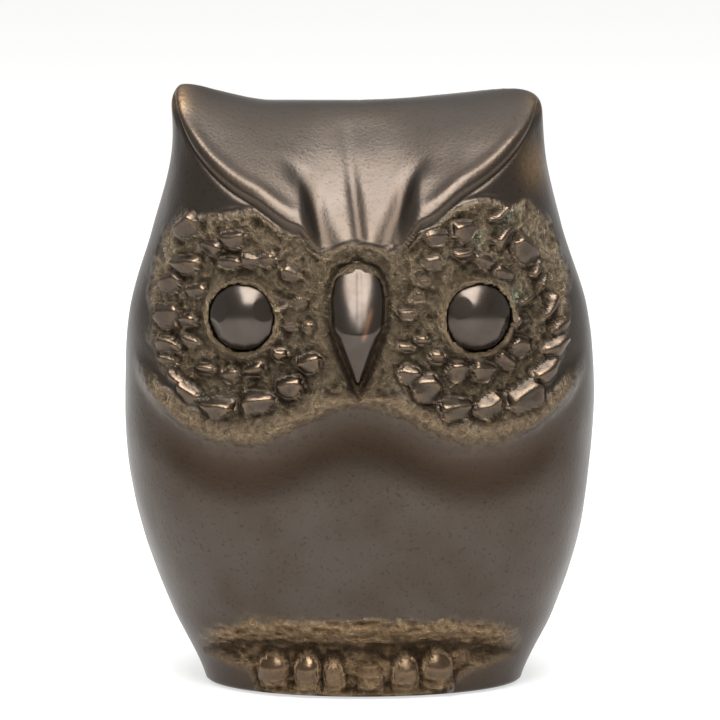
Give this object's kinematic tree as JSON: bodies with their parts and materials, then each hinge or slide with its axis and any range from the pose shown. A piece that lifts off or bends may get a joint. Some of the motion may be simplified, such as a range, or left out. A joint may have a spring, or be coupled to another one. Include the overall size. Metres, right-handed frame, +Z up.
{
  "type": "owl figurine",
  "caption": "Hollow cast bronze owl with a sloping crown, textured face discs, domed set-in eyes, a long beak and a felt-covered base plate.",
  "frame": {"origin": "middle of the figure's box, on the surface it stands on (the felt's underside)", "axes": "+Z up, -Y the way the owl faces, +X to the right of someone looking at its face"},
  "size_m": [0.0891, 0.0642, 0.114],
  "materials": {
    "patinated_bronze": "cast bronze, dark brown waxed patina, satin on the raised faces and rough in the recesses",
    "polished_bronze": "bronze with a dark patina, burnished smooth",
    "brass_plate": "sheet brass, brushed and dulled",
    "brass_screw": "turned brass",
    "felt": "dark green wool felt"
  },
  "bodies": {
    "root": {"body_casting": "patinated_bronze", "left_eye": "polished_bronze", "right_eye": "polished_bronze", "beak": "polished_bronze", "core_plug_crown": "patinated_bronze", "core_plug_left": "patinated_bronze", "core_plug_right": "patinated_bronze", "core_plug_back_upper": "patinated_bronze", "core_plug_back_lower": "patinated_bronze", "base_plate": "brass_plate", "base_screws": "brass_screw", "felt_pad": "felt"}
  },
  "joints": []
}
